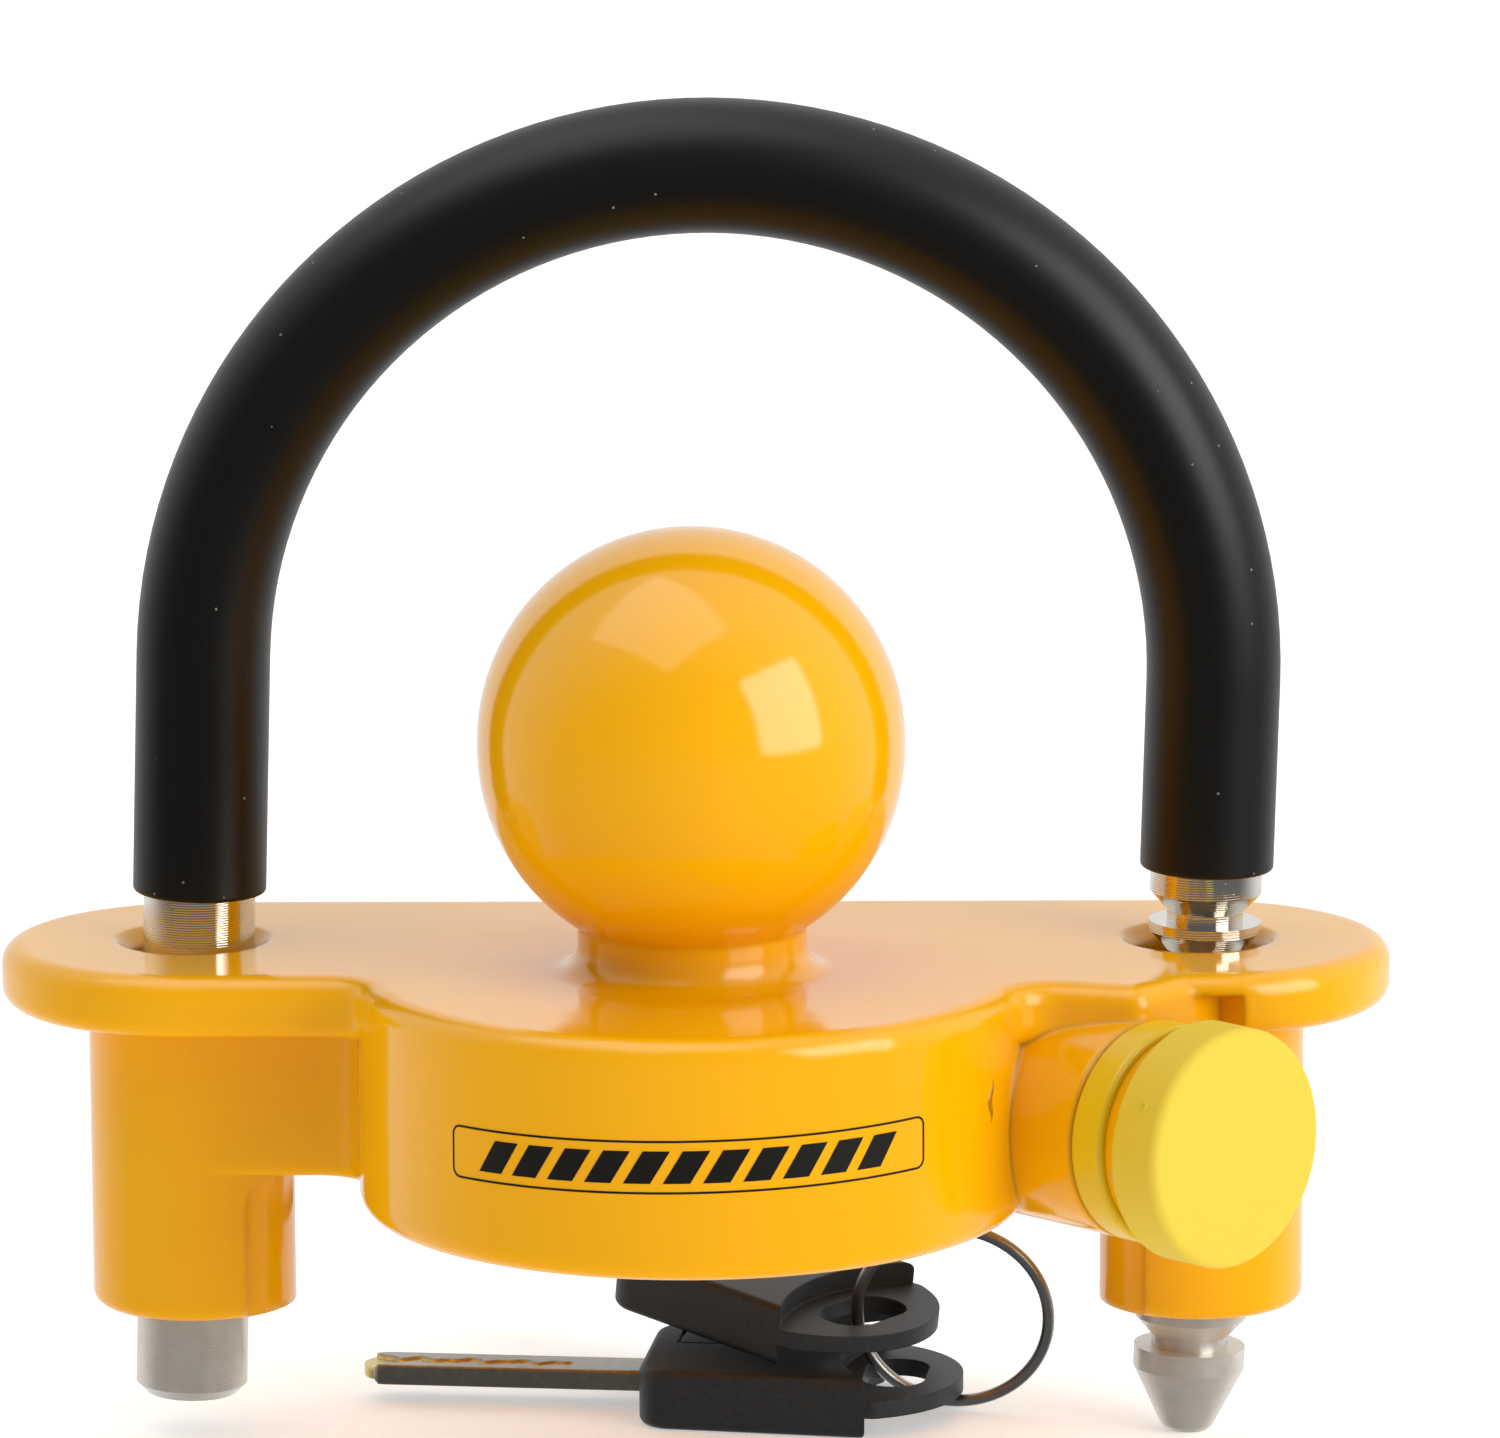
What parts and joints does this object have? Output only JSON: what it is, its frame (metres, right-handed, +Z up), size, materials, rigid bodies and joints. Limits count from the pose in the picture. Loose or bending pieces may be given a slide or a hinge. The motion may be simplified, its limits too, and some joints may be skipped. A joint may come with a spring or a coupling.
{
  "type": "trailer coupler lock",
  "caption": "Cast lock body with a ball on a neck, a sleeved U-shackle with a notched leg, and a keyed lock under a hinged dust cap, with keys.",
  "frame": {"origin": "centre of the lock ball", "axes": "+Z up along the ball's axis, +X towards the notched leg and the lock, +Y towards the shackle and the straight back edge"},
  "size_m": [0.1572, 0.0993, 0.153],
  "materials": {
    "casting_enamel": "thick gloss orange-yellow enamel",
    "shackle_plate": "bright nickel plate, satin towards the ends",
    "sleeve_vinyl": "satin black soft vinyl",
    "cap_vinyl": "matte yellow soft vinyl",
    "lock_brass": "machined",
    "lock_steel": "fine brushed",
    "spring_steel": "plain",
    "key_plastic": "fine textured slate black",
    "key_steel": "nickel plated"
  },
  "bodies": {
    "casting": {"body_casting": "casting_enamel", "lock_barrel": "lock_brass", "face_shield": "lock_steel", "barrel_pin": "spring_steel", "spring_plug": "spring_steel", "pawl_spring": "spring_steel", "cap_ring": "cap_vinyl", "cap_strap": "cap_vinyl"},
    "shackle": {"shackle_bar": "shackle_plate", "shackle_sleeve": "sleeve_vinyl"},
    "plug": {"lock_plug": "lock_brass", "plug_clip": "spring_steel", "plug_cam": "lock_steel", "wafers": "lock_brass", "wafer_springs": "spring_steel"},
    "pawl": {"pawl": "lock_steel"},
    "cap": {"dust_cap": "cap_vinyl"},
    "keys": {"key_a_head": "key_plastic", "key_a_blade": "key_steel", "key_b_head": "key_plastic", "key_b_blade": "key_steel", "key_ring": "spring_steel"}
  },
  "joints": [
    {"name": "shackle_slide", "type": "slide", "parent": "casting", "child": "shackle", "axis": [0.0314, 0, 0.9995], "range_m": [-0.0045, 0.056]},
    {"name": "plug_turn", "type": "hinge", "parent": "casting", "child": "plug", "pos_m": [0.04021, -0.00019, -0.042], "axis": [-0.7071, 0.7071, 0], "range_deg": [0, 90]},
    {"name": "pawl_slide", "type": "slide", "parent": "casting", "child": "pawl", "axis": [0.7071, 0.7071, 0], "range_m": [0, 0.00233]},
    {"name": "cap_open", "type": "hinge", "parent": "casting", "child": "cap", "pos_m": [0.06574, -0.00521, -0.042], "axis": [0, 0, 1], "range_deg": [0, 90]},
    {"name": "keys_away", "type": "slide", "parent": "casting", "child": "keys", "axis": [0, 1, 0], "range_m": [0, 0.06]}
  ],
  "couplings": [
    {"joint": "plug_turn", "follows": "pawl_slide", "rad_per_m": 673.17}
  ]
}
